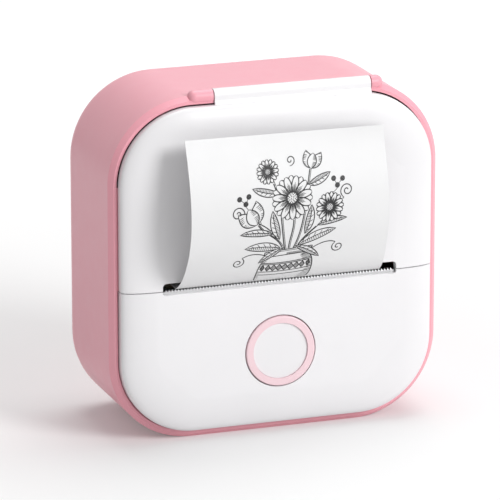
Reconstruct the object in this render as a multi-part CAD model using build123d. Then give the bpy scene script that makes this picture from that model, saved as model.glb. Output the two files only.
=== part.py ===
from build123d import *
import math
import os

# A pocket thermal printer. Millimetres, +X right, +Y to the back, +Z up.
# The origin is the middle of the flat bottom. "Depth" values are places along Y.

# Paper and roll
paper_width = 53.0
paper_shift = -0.25
paper_thickness = 0.1
paper_clearance = 0.1
roll_radius = 14.0
roll_y = 0.8
core_radius = 4.25
core_bore = 3.15

# The platen roller, and the ramp from it up to the roll, which the paper leaves straight along the ramp
platen_y = -12.8
platen_rise = 5.1
platen_radius = 4.5
ramp_angle = 33.5
ramp_cos = math.cos(math.radians(ramp_angle))
ramp_sin = math.sin(math.radians(ramp_angle))
roll_rise = (ramp_sin * (roll_y - platen_y) + roll_radius - platen_radius) / ramp_cos

# Body shell; its width follows from the paper, the frame and the gears, further down
body_height = 86.0
corner_radius = 21.0
wall = 1.88
rim_edge = -14.7
lip_face = -16.0
rim_bevel = 1.1
back_face = 20.0
back_fillet = 6.0
back_inner_fillet = 4.2
back_wall = 1.9

# Front panels
panel_gap = 0.4
panel_front = -20.0
panel_wall = 1.72
panel_skin = 1.9
crown_depth = 2.5
crown_width = 9.0
panel_back = -15.0
cover_back = -15.8
frame_top_room = 4.1
roll_top_gap = 3.306
cover_height = platen_rise + roll_rise + roll_radius + roll_top_gap + frame_top_room
seam_height = body_height - cover_height
seam_gap = 0.25

# Paper slot and tear bar
slot_above = 2.0
slot_below = 1.0
slot_top = seam_height + slot_above
slot_bottom = seam_height - slot_below
slot_corner = 1.0
slot_end_gap = 0.3
bar_front = -19.25
bar_thickness = 0.5
bar_reach = 3.5
bar_half = paper_width / 2 + bar_reach
slot_half = bar_half + slot_end_gap
bar_height = 4.35
bar_top_gap = 0.15
bar_tip = seam_height - bar_top_gap
bar_low = bar_tip - bar_height
tooth_pitch = 0.8
tooth_height = 0.6
stake_radius = 0.7
stake_spacing = 22.0
stake_places = (-stake_spacing, 0.0, stake_spacing)
stake_rise = 1.4
stake_height = bar_low + stake_rise
stake_length = 0.95
bar_pocket_gap = 0.4

# Cover hinge
hinge_y = -14.6
hinge_drop = 0.4
hinge_z = body_height - hinge_drop
barrel_radius = 1.75
barrel_left = -15.6
barrel_right = 24.7
knuckle_gap = 0.3
left_knuckle_end = -22.15
right_knuckle_end = 28.2
hinge_pin_radius = 0.6
pin_clearance = 0.05
pin_end_cover = 0.8
web_front = -17.3
web_depth = 3.0
web_low = hinge_z - web_depth
notch_clearance = 0.3

# Platen roller
platen_z = seam_height + platen_rise
platen_reach = 0.5
platen_half = paper_width / 2 + platen_reach
shaft_radius = 1.5
bushing_radius = 2.7
bushing_flange = 0.3
running_clearance = 0.05

# Print head, measured along and below the ramp that it lies on
head_reach_past_paper = 0.7
head_half = paper_width / 2 + head_reach_past_paper
head_front = -3.5
ceramic_end = 6.5
ceramic_thickness = 0.8
heatsink_thickness = 2.5
heatsink_end = 10.0
head_pivot = 9.0
head_pin_radius = 0.75
spring_radius = 2.0
spring_wire = 0.4
spring_length = 4.0
spring_turns = 4
spring_place = 14.0
seat_half = 2.6
seat_thickness = 1.5
spring_end_gap = 0.05

# Inner frame
paper_side_gap = 1.1
frame_half = paper_width / 2 + paper_side_gap
frame_wall = 1.5
frame_front = -15.2
frame_back = 17.6
frame_top = body_height - frame_top_room
frame_drop = 5.6
frame_low = seam_height - frame_drop
floor_start = 10.8
floor_drop = 1.0
ear_front = 12.0
ear_thickness = 1.6
ear_half = 3.2
ear_reach = 5.4
ear_x = frame_half + ear_reach
ear_rise = 2.8
ear_top_gap = 9.9
ear_heights = (platen_z + ear_rise, frame_top - ear_top_gap)
boss_radius = 2.0
frame_gap = 0.3
shaft_notch = 3.0
notch_rise = 7.5

# Paper sensor, let into the bucket's floor
sensor_x = (8.0, 12.0)
sensor_start = 4.0
sensor_length = 4.0
sensor_height = 3.0

# Cover liner and its arms
liner_front = -16.9
liner_thickness = 1.2
liner_inset = 4.4
liner_rise = 10.3
liner_low = seam_height + liner_rise
arm_gap = 2.6
arm_inner = platen_half + arm_gap
arm_thickness = 1.8
arm_radius = 3.6
arm_root = 6.6
arm_top = liner_low + arm_root
liner_screw_low_x = 24.0
liner_screw_high_x = 22.0
liner_screw_drop = 11.0

# Gear train, on the left side
gear_module = 0.4
pressure_angle = 20.0
addendum = 0.8
dedendum = 1.2
tooth_share = 0.42
platen_teeth = 22
idler_teeth = 30
pinion_teeth = 12
reduction_teeth = 40
small_teeth = 14
idler_angle = -20.0
reduction_angle = -75.0
motor_angle = -60.0
plate_inner = frame_half + frame_wall
plate_thickness = 1.0
plate_margin = 1.0
plate_screw_rise = 3.0
plate_screw_drop = 2.25
plate_screw_front = 3.0
plate_screw_rear = 4.5
plate_ear_low = 3.0
plate_ear_high = 4.0
plate_waist = 5.0
plate_neck = 3.0
plate_foot = 6.0
plate_ear_gap = 0.6
gear_gap = 0.8
gear_inner = arm_inner + arm_thickness + bushing_flange + gear_gap
gear_width = 2.5
second_gear_gap = 0.5
second_gear_inner = gear_inner + gear_width + second_gear_gap
second_gear_width = 2.0
hub_gap = 0.3
hub_inner = plate_inner + plate_thickness + hub_gap
hub_radius = 1.7
side_room = 3.12
body_width = 2 * (second_gear_inner + second_gear_width + side_room + wall)
axle_radius = 0.75
axle_clearance = 0.05
axle_end = 0.3

# Motor
motor_radius = 7.5
motor_length = 12.0
motor_boss_radius = 2.5
motor_ear_reach = 10.0
motor_ear_radius = 2.2
motor_flange = 0.8
motor_shaft_radius = 0.5
motor_end = -plate_inner + motor_length

# Battery, between the motor and the far side of the frame
battery_motor_gap = 3.6
battery_side_gap = 1.1
battery_x = (motor_end + battery_motor_gap, frame_half - battery_side_gap)
battery_low = 7.0
battery_drop = 2.1
battery_z = (battery_low, seam_height - battery_drop)
battery_front = 11.6
battery_thickness = 6.0
battery_corner = 2.0

# Circuit board and what is on it
board_front = -12.0
board_thickness = 1.2
board_drop = 5.6
board_top = seam_height - board_drop
board_inset = 3.3
board_boss_radius = 2.2
board_screw_drop = 4.5
board_screw_low = 9.0
board_screw_edge = 14.5
board_screw_low_edge = 20.5
connector_drop = 6.5
connector_row = board_top - connector_drop
usb_height = connector_row
usb_width = 8.94
usb_thickness = 3.2
usb_depth = 7.3
usb_shell = 0.3
usb_recess = 0.4
usb_gap = 0.2
usb_tongue = 0.7
usb_tongue_inset = 1.5
usb_tongue_recess = 1.0
usb_back = 1.2
usb_foot_gap = 2.0

# Blocks on the back of the board: X, height, width, height of the block and how far it stands off
chip_row_drop = 16.5
chip_row = board_top - chip_row_drop
chip_places = (
    (8.0, chip_row, 7.0, 7.0, 0.9),
    (27.5, chip_row, 4.0, 4.0, 1.8),
    (-4.0, 9.5, 5.0, 4.0, 1.0),
    (14.5, 8.0, 4.0, 5.0, 1.2),
)
battery_plug_inset = 5.5
battery_plug_drop = 10.5
motor_plug_gap = 6.9
motor_plug_drop = 15.5
battery_plug = (battery_x[1] - battery_plug_inset, board_top - battery_plug_drop, 6.5, 4.0, 2.6)
motor_plug = (motor_end + motor_plug_gap, board_top - motor_plug_drop, 3.6, 6.5, 2.6)
ribbon_plug = (0.0, connector_row, 19.0, 3.0, 2.0)
ribbon_half = 8.0
ribbon_thickness = 0.3
ribbon_start = 7.6
ribbon_gap = 0.35
ribbon_bend = 1.6

# Feed button
button_rise = 1.65
button_z = seam_height / 2 + button_rise
ring_radius = 8.9
ring_proud = 0.3
face_radius = 7.1
face_drop = 0.15
face_thickness = 1.2
button_gap = 0.3
button_floor = 0.8
flange_reach = 1.3
flange_thickness = 0.8
flange_rest_gap = 0.1
stem_radius = 1.6
switch_half = 3.0
switch_front = -15.5
switch_stem_radius = 1.65
switch_stem_gap = 0.1
switch_bore = 1.6
switch_tip = -16.3

# Wires
wire_radius = 0.45
wire_arc_share = 0.45
wire_half_spacing = 1.0

# Screws
screw_radius = 0.7
screw_head_radius = 1.5
screw_head = 0.6
screw_hole_gap = 0.15
screw_end_gap = 1.0

# Snap tabs of the lower panel, on the ledge inside the shell
ledge_thickness = 1.4
ledge_reach = 3.4
ledge_root = 1.5
tab_width = 8.0
tab_thickness = 1.0
tab_gap = 0.1
tab_height = (corner_radius + seam_height) / 2
tab_end = -12.6
hook_reach = 0.5

# The printed tongue outside the slot: where it starts, and its two long edges as steps from there
mouth_depth = 0.35
mouth_rise = 0.2
tongue_mouth = (bar_front + mouth_depth, seam_height + mouth_rise)
left_edge_steps = (
    (-1.8, 0.5), (-5.1, 3.6), (-8.5, 7.6), (-10.8, 12.0),
    (-12.2, 17.7), (-12.0, 24.3), (-10.4, 30.9), (-7.5, 38.85),
)
right_edge_steps = (
    (-1.7, 0.8), (-3.2, 4.6), (-5.4, 9.9), (-6.4, 15.7),
    (-6.1, 20.7), (-4.9, 26.1), (-3.3, 31.4), (-2.1, 37.0),
)
edge_samples = 8

# How far a cut runs past what it cuts, and lengths that reach past the whole part or hardly at all
over = 1.0
far = 100.0
tiny = 0.01

# Values worked out from the ones above
mid_height = body_height / 2
panel_inset = wall + panel_gap
platen_point = (platen_y, platen_z)
paper_inner = platen_radius + paper_clearance
paper_outer = paper_inner + paper_thickness
head_reach = paper_outer + paper_clearance
heatsink_under = ceramic_thickness + heatsink_thickness
seat_top = heatsink_under + spring_length
liner_back = liner_front + liner_thickness
panel_inner = panel_front + panel_skin
board_back = board_front + board_thickness
button_flange_front = panel_inner + flange_rest_gap
paper_left = paper_shift - paper_width / 2
paper_right = paper_shift + paper_width / 2
cover_top_screws = body_height - liner_screw_drop
board_top_screws = board_top - board_screw_drop
liner_screw_places = (
    (-liner_screw_low_x, arm_top),
    (liner_screw_low_x, arm_top),
    (-liner_screw_high_x, cover_top_screws),
    (liner_screw_high_x, cover_top_screws),
)
board_screw_places = (
    (board_screw_edge - body_width / 2, board_top_screws),
    (body_width / 2 - board_screw_edge, board_top_screws),
    (board_screw_low_edge - body_width / 2, board_screw_low),
    (body_width / 2 - board_screw_low_edge, board_screw_low),
)


def deep(sketch, y_front, y_back):
    """A sketch drawn in X and Z, pushed from one depth to another."""
    return extrude(Plane.XZ.offset(-y_back) * sketch, amount=y_back - y_front)


def across(sketch, x_from, x_to):
    """A sketch drawn in Y and Z, pushed from one X to another."""
    return extrude(Plane.YZ.offset(min(x_from, x_to)) * sketch, amount=abs(x_to - x_from))


def disc(point, radius):
    return Pos(*point) * Circle(radius)


def shape(*points):
    return make_face(Polyline(*points, close=True))


def block(x_span, y_span, z_span):
    """A box between two places on each axis."""
    size = [abs(span[1] - span[0]) for span in (x_span, y_span, z_span)]
    middle = [(span[1] + span[0]) / 2 for span in (x_span, y_span, z_span)]
    return Pos(*middle) * Box(*size)


def outline(inset):
    """The body's rounded outline, drawn in by an inset."""
    width = body_width - 2 * inset
    height = body_height - 2 * inset
    return Pos(0, mid_height) * RectangleRounded(width, height, corner_radius - inset)


def step_along(point, angle, distance):
    turn = math.radians(angle)
    return (point[0] + distance * math.cos(turn), point[1] + distance * math.sin(turn))


def on_ramp(along, below):
    """A place in Y and Z, along the ramp from the print line and below the head's face."""
    y = platen_y + ramp_cos * along + ramp_sin * (head_reach + below)
    z = platen_z + ramp_sin * along - ramp_cos * (head_reach + below)
    return (y, z)


def ramp_plate(start, end, top, bottom):
    corners = ((start, top), (end, top), (end, bottom), (start, bottom))
    return shape(*[on_ramp(*corner) for corner in corners])


def screw(point, head_back, tip, sign):
    """A screw along Y whose head sits at head_back; sign is +1 where the tip points to the back."""
    head_edge = head_back - sign * screw_head
    head = deep(disc(point, screw_head_radius), min(head_back, head_edge), max(head_back, head_edge))
    shank = deep(disc(point, screw_radius), min(head_back, tip), max(head_back, tip))
    slot = deep(Pos(*point) * Rectangle(screw_head_radius, screw_radius / 2), -far, far)
    slot_floor = head_edge + sign * screw_head / 2
    slot &= block((-far, far), (slot_floor, head_edge - sign * over), (-far, far))
    return head + shank - slot


def centre_distance(teeth, other_teeth):
    return gear_module * (teeth + other_teeth) / 2


# Places of the gears, each a tooth-to-tooth distance from the last
idler_point = step_along(platen_point, idler_angle, centre_distance(platen_teeth, idler_teeth))
reduction_point = step_along(idler_point, reduction_angle, centre_distance(idler_teeth, small_teeth))
motor_point = step_along(reduction_point, motor_angle, centre_distance(reduction_teeth, pinion_teeth))

roll_z = platen_z + roll_rise
roll_point = (roll_y, roll_z)
roll_along = ramp_cos * (roll_y - platen_y) + ramp_sin * (roll_z - platen_z)
pivot_point = on_ramp(head_pivot, ceramic_thickness + heatsink_thickness / 2)


def crowned(inset, y_front, y_back):
    """A slab of the body's outline whose front edge rolls off as a quarter ellipse."""
    slab = deep(outline(inset), y_front, y_back)
    path = (Plane.XZ.offset(-y_front) * outline(inset)).face().outer_wire()
    start = path @ 0
    along = path % 0
    inward = Vector(0, y_front, mid_height) - start
    inward = inward - along * inward.dot(along)
    section = Plane(origin=start, x_dir=inward, z_dir=inward.cross(Vector(0, 1, 0)))
    middle = Plane(origin=(crown_width, crown_depth, 0))
    roll_off = Edge.make_ellipse(
        x_radius=crown_width, y_radius=crown_depth, plane=middle, start_angle=180, end_angle=270
    )
    rest = Polyline(
        (0, crown_depth), (-over, crown_depth), (-over, -over), (crown_width, -over), (crown_width, 0)
    )
    return slab - sweep(section * make_face([rest, roll_off]), path=path)


def hinge_ball(x):
    return Pos(x, hinge_y, hinge_z) * Sphere(barrel_radius)


def hinge_tube(radius, x_from, x_to):
    return across(disc((hinge_y, hinge_z), radius), x_from, x_to)


def rear_shell(inset, back, fillet_radius):
    """The solid of the outline from the rim edge to the back, its rear edge rounded."""
    solid = deep(outline(inset), rim_edge, back)
    rear = solid.faces().sort_by(Axis.Y)[-1]
    return fillet(rear.edges(), fillet_radius)


def build_housing():
    rim = loft([
        Plane.XZ.offset(-rim_edge) * outline(0),
        Plane.XZ.offset(-lip_face) * outline(rim_bevel),
    ])
    shell = rear_shell(0, back_face, back_fillet) + rim
    hollow = rear_shell(wall, back_face - back_wall, back_inner_fillet)
    hollow += deep(outline(wall), lip_face - over, rim_edge)
    shell -= hollow
    shell += build_ledge()
    shell += build_frame_bosses()
    left_start = barrel_left - knuckle_gap
    right_start = barrel_right + knuckle_gap
    left_end = left_knuckle_end + barrel_radius
    right_end = right_knuckle_end - barrel_radius
    cut = block((left_start, right_start), (lip_face - over, hinge_y), (web_low, far))
    cut += hinge_tube(barrel_radius + notch_clearance, left_start, right_start)
    shell -= cut
    for end, start in ((left_end, left_start), (right_end, right_start)):
        shell += hinge_tube(barrel_radius, end, start)
        shell += hinge_ball(end)
    shell -= hinge_tube(hinge_pin_radius, *pin_span())
    return shell - usb_cut()


def pin_span():
    return (left_knuckle_end + pin_end_cover, right_knuckle_end - pin_end_cover)


def build_ledge():
    """The ledge that the lower panel rests on and the cover closes against."""
    ring = outline(ledge_root) - outline(ledge_reach)
    low = Pos(0, seam_height / 2) * Rectangle(far, seam_height)
    high_top = body_height - corner_radius
    high = Pos(0, (high_top + seam_height) / 2) * Rectangle(far, high_top - seam_height)
    ledge_back = panel_back + ledge_thickness
    cover_stop = cover_back + seam_gap
    return deep(ring & low, panel_back, ledge_back) + deep(ring & high, cover_stop, ledge_back)


def frame_screw_places():
    return [(side * ear_x, height) for side in (-1, 1) for height in ear_heights]


def build_frame_bosses():
    bosses = Part()
    for place in frame_screw_places():
        boss = disc(place, boss_radius) - disc(place, screw_radius)
        bosses += deep(boss, ear_front + ear_thickness, back_face - back_wall)
    return bosses


def usb_section(growth):
    """The socket's outline in Y and Z."""
    y = board_back + usb_gap + usb_thickness / 2
    wide = usb_thickness + 2 * growth
    tall = usb_width + 2 * growth
    return Pos(y, usb_height) * RectangleRounded(wide, tall, wide / 2 - tiny)


def usb_cut():
    return across(usb_section(usb_gap), body_width / 2 - ledge_reach - over, body_width / 2 + over)


def build_cover():
    below = block((-far, far), (-far, far), (-far, seam_height + seam_gap / 2))
    cover = crowned(panel_inset, panel_front, cover_back) - below
    cover -= deep(outline(panel_inset + panel_wall), panel_inner, cover_back)
    cover -= slot_notch(slot_top, seam_height)
    for place in liner_screw_places:
        boss = disc(place, screw_head_radius)
        cover += deep(boss, panel_inner, liner_front)
        cover -= deep(disc(place, screw_radius), panel_front + panel_skin / 2, liner_front)
    web = shape(
        (web_front, web_low),
        (hinge_y - barrel_radius, hinge_z - barrel_radius / 2),
        (hinge_y - barrel_radius, hinge_z),
        (hinge_y, hinge_z),
        (hinge_y - barrel_radius / 2, hinge_z - barrel_radius),
        (cover_back, web_low),
    )
    cover += across(web, barrel_left, barrel_right)
    cover += hinge_tube(barrel_radius, barrel_left, barrel_right)
    return cover - hinge_tube(hinge_pin_radius + pin_clearance, barrel_left, barrel_right)


def slot_notch(top, bottom):
    """The slot's share of one panel, with rounded corners away from the seam."""
    if top > seam_height:
        low = bottom - slot_corner
        notch = Pos(0, (top + low) / 2) * RectangleRounded(2 * slot_half, top - low, slot_corner)
    else:
        high = top + slot_corner
        size = (2 * slot_half, high - bottom)
        notch = Pos(0, (high + bottom) / 2) * RectangleRounded(*size, slot_corner / 2)
    return deep(notch, panel_front - over, panel_inner + over)


def build_lower_panel():
    above = block((-far, far), (-far, far), (seam_height - seam_gap / 2, far))
    panel = crowned(panel_inset, panel_front, panel_back)
    panel -= deep(outline(panel_inset + panel_wall), panel_inner, panel_back)
    panel -= above
    panel -= slot_notch(seam_height, slot_bottom)
    pocket_half = bar_half + bar_pocket_gap
    pocket = block(
        (-pocket_half, pocket_half), (bar_front, panel_inner), (bar_low - bar_pocket_gap, seam_height)
    )
    panel -= pocket
    for x in stake_places:
        panel += deep(disc((x, stake_height), stake_radius), bar_front, bar_front + stake_length)
    panel -= deep(disc((0, button_z), ring_radius + button_gap), panel_front - over, panel_inner)
    for place in board_screw_places:
        boss = disc(place, board_boss_radius) - disc(place, screw_radius)
        panel += deep(boss, panel_inner, board_front)
    return panel + build_snap_tabs()


def build_snap_tabs():
    """Tabs on both sides and at the bottom, hooked behind the shell's ledge."""
    outer = ledge_reach + tab_gap
    inner = outer + tab_thickness
    hook_front = panel_back + ledge_thickness + tab_gap
    tabs = Part()
    for side in (-1, 1):
        edge = side * body_width / 2
        span = (tab_height - tab_width / 2, tab_height + tab_width / 2)
        tabs += block((edge - side * outer, edge - side * inner), (panel_inner, tab_end), span)
        hook = (edge - side * (outer - hook_reach), edge - side * inner)
        tabs += block(hook, (hook_front, tab_end), span)
    span = (-tab_width / 2, tab_width / 2)
    tabs += block(span, (panel_inner, tab_end), (outer, inner))
    return tabs + block(span, (hook_front, tab_end), (outer - hook_reach, inner))


def build_tear_bar():
    """A steel strip with a saw-tooth upper edge."""
    count = int(2 * bar_half / tooth_pitch)
    start = -count * tooth_pitch / 2
    points = [(-bar_half, bar_low), (-bar_half, bar_tip - tooth_height)]
    for k in range(count):
        left = start + k * tooth_pitch
        points.append((left + tooth_pitch / 4, bar_tip - tooth_height))
        points.append((left + tooth_pitch / 2, bar_tip))
        points.append((left + 3 * tooth_pitch / 4, bar_tip - tooth_height))
    points += [(bar_half, bar_tip - tooth_height), (bar_half, bar_low)]
    strip = shape(*points)
    for x in stake_places:
        strip -= disc((x, stake_height), stake_radius + running_clearance)
    return deep(strip, bar_front, bar_front + bar_thickness)


def frame_side():
    """The side wall of the inner frame, in Y and Z, cut away in front for the roller's shaft and arms."""
    seat_front = on_ramp(-seat_half, seat_top + seat_thickness)
    seat_rear = on_ramp(seat_half, seat_top + seat_thickness)
    seat_low = seat_front[1] - frame_wall / 2
    return shape(
        (frame_front, frame_top),
        (frame_back, frame_top),
        (frame_back, frame_low),
        (seat_rear[0] + frame_wall, frame_low),
        (seat_rear[0], seat_low),
        (seat_front[0] - frame_wall / 2, seat_low),
        on_ramp(0, heatsink_under),
        (platen_y + shaft_notch, platen_z - shaft_notch),
        (platen_y + shaft_notch, platen_z + shaft_notch),
        (frame_front, platen_z + notch_rise),
    )


def build_inner_frame():
    """The bucket that the roll lies in, with the seat of the head's springs below it."""
    frame = Part()
    outer = frame_half + frame_wall
    for side in (-1, 1):
        pivot_hole = disc(pivot_point, head_pin_radius + running_clearance)
        frame += across(frame_side() - pivot_hole, side * frame_half, side * outer)
    back = frame_back - frame_wall
    floor_end = (back - on_ramp(0, floor_drop)[0]) / ramp_cos
    frame += across(ramp_plate(floor_start, floor_end, floor_drop, floor_drop + frame_wall), -outer, outer)
    back_low = on_ramp(floor_end, floor_drop + frame_wall)[1]
    frame += block((-outer, outer), (back, frame_back), (back_low, frame_top))
    frame += block((-outer, outer), (frame_front, frame_back), (frame_top - frame_wall, frame_top))
    seat = ramp_plate(-seat_half, seat_half, seat_top, seat_top + seat_thickness)
    frame += across(seat, -outer, outer)
    for x, z in frame_screw_places():
        side = math.copysign(1, x)
        ear = block(
            (side * frame_half, x + side * ear_half),
            (ear_front, ear_front + ear_thickness),
            (z - ear_half, z + ear_half),
        )
        hole = disc((x, z), screw_radius + screw_hole_gap)
        frame += ear - deep(hole, ear_front, ear_front + ear_thickness)
    for z, y in plate_screw_places():
        frame -= across(disc((y, z), screw_radius), -outer, -frame_half)
    room = rear_shell(wall + frame_gap, back_face - back_wall - frame_gap, back_inner_fillet)
    room += deep(outline(wall + frame_gap), frame_front, rim_edge)
    return (frame & room) - sensor_block(running_clearance)


def plate_screw_places():
    """Height and depth of the screws that hold the gear plate."""
    low = frame_low + plate_screw_rise
    high = ear_heights[0] - ear_half - plate_screw_drop
    return ((low, plate_screw_front), (high, frame_back - plate_screw_rear))


def sensor_block(growth):
    """The paper sensor, or with a growth the hole that it sits in."""
    start = floor_start + sensor_start - growth
    end = floor_start + sensor_start + sensor_length + growth
    profile = ramp_plate(start, end, floor_drop - growth, floor_drop + sensor_height + growth)
    return across(profile, sensor_x[0] - growth, sensor_x[1] + growth)


def build_gear_plate():
    """The steel side plate that carries the motor and both gear axles."""
    motor_y, motor_z = motor_point
    ear = motor_ear_reach + motor_ear_radius + plate_margin
    low = motor_z - motor_radius - plate_margin
    rear = frame_back - plate_margin
    plate = shape(
        (motor_y - ear, motor_z - plate_ear_low),
        (motor_y - ear, motor_z + plate_ear_high),
        (reduction_point[0] - plate_waist, reduction_point[1]),
        (idler_point[0] - plate_neck, idler_point[1] + plate_neck),
        (rear, ear_heights[0] - ear_half - plate_ear_gap),
        (rear, motor_z - plate_ear_low),
        (motor_y + plate_foot, low),
        (motor_y - plate_foot, low),
    )
    for z, y in plate_screw_places():
        plate -= disc((y, z), screw_radius + screw_hole_gap)
    for point in (idler_point, reduction_point):
        plate -= disc(point, axle_radius)
    plate -= disc(motor_point, motor_boss_radius + running_clearance)
    for point in motor_ear_places():
        plate -= disc(point, screw_radius)
    return across(plate, -plate_inner, -plate_inner - plate_thickness)


def motor_ear_places():
    return [(motor_point[0] + side * motor_ear_reach, motor_point[1]) for side in (-1, 1)]


def build_gear_axles():
    outer_a = -gear_inner - gear_width - axle_end
    outer_b = -second_gear_inner - second_gear_width - axle_end
    return Compound([
        across(disc(idler_point, axle_radius), -plate_inner, outer_a),
        across(disc(reduction_point, axle_radius), -plate_inner, outer_b),
    ])


def flank_angle(base_radius, radius, base_half):
    """Half the angle that a tooth with involute flanks fills at a radius."""
    pressure = math.acos(min(1.0, base_radius / radius))
    return base_half - (math.tan(pressure) - pressure)


def gear_face(teeth, phase):
    """A gear's outline about the origin, one tooth centred on the phase angle in degrees."""
    pitch_radius = gear_module * teeth / 2
    base_radius = pitch_radius * math.cos(math.radians(pressure_angle))
    tip_radius = pitch_radius + addendum * gear_module
    root_radius = pitch_radius - dedendum * gear_module
    pitch_pressure = math.radians(pressure_angle)
    half_tooth = math.pi * tooth_share / teeth
    base_half = half_tooth + math.tan(pitch_pressure) - pitch_pressure
    start_radius = max(base_radius, root_radius)
    flank_steps = 3
    flank = [(root_radius, base_half)] if root_radius < base_radius else []
    for k in range(flank_steps + 1):
        radius = start_radius + (tip_radius - start_radius) * k / flank_steps
        flank.append((radius, flank_angle(base_radius, radius, base_half)))
    points = []
    for tooth in range(teeth):
        middle = math.radians(phase) + 2 * math.pi * tooth / teeth
        for radius, half in flank:
            points.append((radius * math.cos(middle - half), radius * math.sin(middle - half)))
        for radius, half in reversed(flank):
            points.append((radius * math.cos(middle + half), radius * math.sin(middle + half)))
    return shape(*points)


def meshed_phase(point, teeth, phase, other_point, other_teeth):
    """The phase of a gear at other_point that meshes with the gear at point."""
    direction = math.degrees(math.atan2(other_point[1] - point[1], other_point[0] - point[0]))
    share = (direction - phase) * teeth / 360
    return direction + 180 - (0.5 - share) * 360 / other_teeth


platen_phase = 0.0
idler_phase = meshed_phase(platen_point, platen_teeth, platen_phase, idler_point, idler_teeth)
small_phase = meshed_phase(idler_point, idler_teeth, idler_phase, reduction_point, small_teeth)
reduction_phase = small_phase
pinion_phase = meshed_phase(reduction_point, reduction_teeth, reduction_phase, motor_point, pinion_teeth)


def gear(point, teeth, phase, bore, inner, width):
    face = Pos(*point) * gear_face(teeth, phase) - disc(point, bore)
    return across(face, -inner, -inner - width)


def build_idler_gear():
    bore = axle_radius + axle_clearance
    wheel = gear(idler_point, idler_teeth, idler_phase, bore, gear_inner, gear_width)
    return wheel + across(disc(idler_point, hub_radius) - disc(idler_point, bore), -hub_inner, -gear_inner)


def build_reduction_gear():
    bore = axle_radius + axle_clearance
    small_width = second_gear_inner - gear_inner
    wheel = gear(reduction_point, small_teeth, small_phase, bore, gear_inner, small_width)
    wheel += gear(
        reduction_point, reduction_teeth, reduction_phase, bore, second_gear_inner, second_gear_width
    )
    hub = disc(reduction_point, hub_radius) - disc(reduction_point, bore)
    return wheel + across(hub, -hub_inner, -gear_inner)


def build_motor_pinion():
    return gear(
        motor_point, pinion_teeth, pinion_phase, motor_shaft_radius, second_gear_inner, second_gear_width
    )


def build_motor():
    """The can, the boss in the gear plate and the flange with two ears, with the shaft's bore."""
    can = across(disc(motor_point, motor_radius), -plate_inner + motor_flange, motor_end)
    can = fillet(can.faces().sort_by(Axis.X)[-1].edges(), motor_flange)
    flange = disc(motor_point, motor_radius)
    bar = Pos(*motor_point) * Rectangle(2 * motor_ear_reach, 2 * motor_ear_radius)
    flange += bar
    for point in motor_ear_places():
        flange += disc(point, motor_ear_radius)
    for point in motor_ear_places():
        flange -= disc(point, screw_radius + screw_hole_gap)
    motor = can + across(flange, -plate_inner, -plate_inner + motor_flange)
    motor += across(disc(motor_point, motor_boss_radius), -plate_inner, -plate_inner - plate_thickness)
    bore = disc(motor_point, motor_shaft_radius + running_clearance)
    return motor - across(bore, -plate_inner - plate_thickness, -plate_inner + motor_length / 2)


def build_motor_shaft():
    end = -second_gear_inner - second_gear_width - axle_end
    return across(disc(motor_point, motor_shaft_radius), -plate_inner + motor_length / 2 - axle_end, end)


def build_platen_shaft():
    left = -gear_inner - gear_width - axle_end
    right = arm_inner + arm_thickness + bushing_flange + axle_end
    return across(disc(platen_point, shaft_radius), left, right)


def build_platen_rubber():
    ring = disc(platen_point, platen_radius) - disc(platen_point, shaft_radius)
    return across(ring, -platen_half, platen_half)


def build_platen_gear():
    return gear(platen_point, platen_teeth, platen_phase, shaft_radius, gear_inner, gear_width)


def build_bushings():
    """A flanged bushing in each arm."""
    bore = disc(platen_point, shaft_radius + running_clearance)
    bushings = []
    for side in (-1, 1):
        inner = side * arm_inner
        outer = side * (arm_inner + arm_thickness)
        sleeve = across(disc(platen_point, bushing_radius) - bore, inner, outer)
        flange = disc(platen_point, bushing_radius + bushing_flange) - bore
        bushings.append(sleeve + across(flange, outer, outer + side * bushing_flange))
    return Compound(bushings)


def build_liner():
    """The lid's inner plate, with the two arms that carry the platen roller."""
    above = Pos(0, (liner_low + body_height) / 2) * Rectangle(far, body_height - liner_low)
    liner = deep(outline(liner_inset) & above, liner_front, liner_back)
    arm = disc(platen_point, arm_radius)
    arm += shape(
        (platen_y - arm_radius, platen_z),
        (platen_y + arm_radius, platen_z),
        (liner_back + arm_radius, liner_low),
        (liner_back, arm_top),
        (liner_front, arm_top),
        (liner_front, liner_low),
    )
    arm -= disc(platen_point, bushing_radius)
    for side in (-1, 1):
        liner += across(arm, side * arm_inner, side * (arm_inner + arm_thickness))
    for place in liner_screw_places:
        liner -= deep(disc(place, screw_radius + screw_hole_gap), liner_front, liner_back)
    return liner


def build_heatsink():
    """The aluminium carrier of the head, with a pivot pin at each end."""
    plate = across(
        ramp_plate(head_front, heatsink_end, ceramic_thickness, heatsink_under), -head_half, head_half
    )
    pin_end = frame_half + frame_wall - axle_end
    return plate + across(disc(pivot_point, head_pin_radius), -pin_end, pin_end)


def build_ceramic():
    return across(ramp_plate(head_front, ceramic_end, 0, ceramic_thickness), -head_half, head_half)


def build_springs():
    """Two coil springs that push the head up against the platen roller."""
    height = spring_length - 2 * spring_end_gap - spring_wire
    springs = []
    for x in (-spring_place, spring_place):
        low = on_ramp(0, seat_top - spring_end_gap - spring_wire / 2)
        axis = Plane(origin=(x, *low), x_dir=(1, 0, 0), z_dir=(0, -ramp_sin, ramp_cos))
        coil = Helix(pitch=height / spring_turns, height=height, radius=spring_radius - spring_wire / 2)
        start = Plane(origin=coil @ 0, z_dir=coil % 0)
        springs.append(axis * sweep(start * Circle(spring_wire / 2), path=coil))
    return Compound(springs)


def build_paper_web():
    """The paper from the roll down to the print line."""
    below = -paper_clearance - paper_thickness
    strip = ramp_plate(paper_clearance, roll_along, below, below + paper_thickness)
    return across(strip, paper_left, paper_right)


def build_roll():
    ring = disc(roll_point, roll_radius) - disc(roll_point, core_radius)
    return across(ring, paper_left, paper_right)


def build_core():
    ring = disc(roll_point, core_radius) - disc(roll_point, core_bore)
    return across(ring, paper_left, paper_right)


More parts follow.
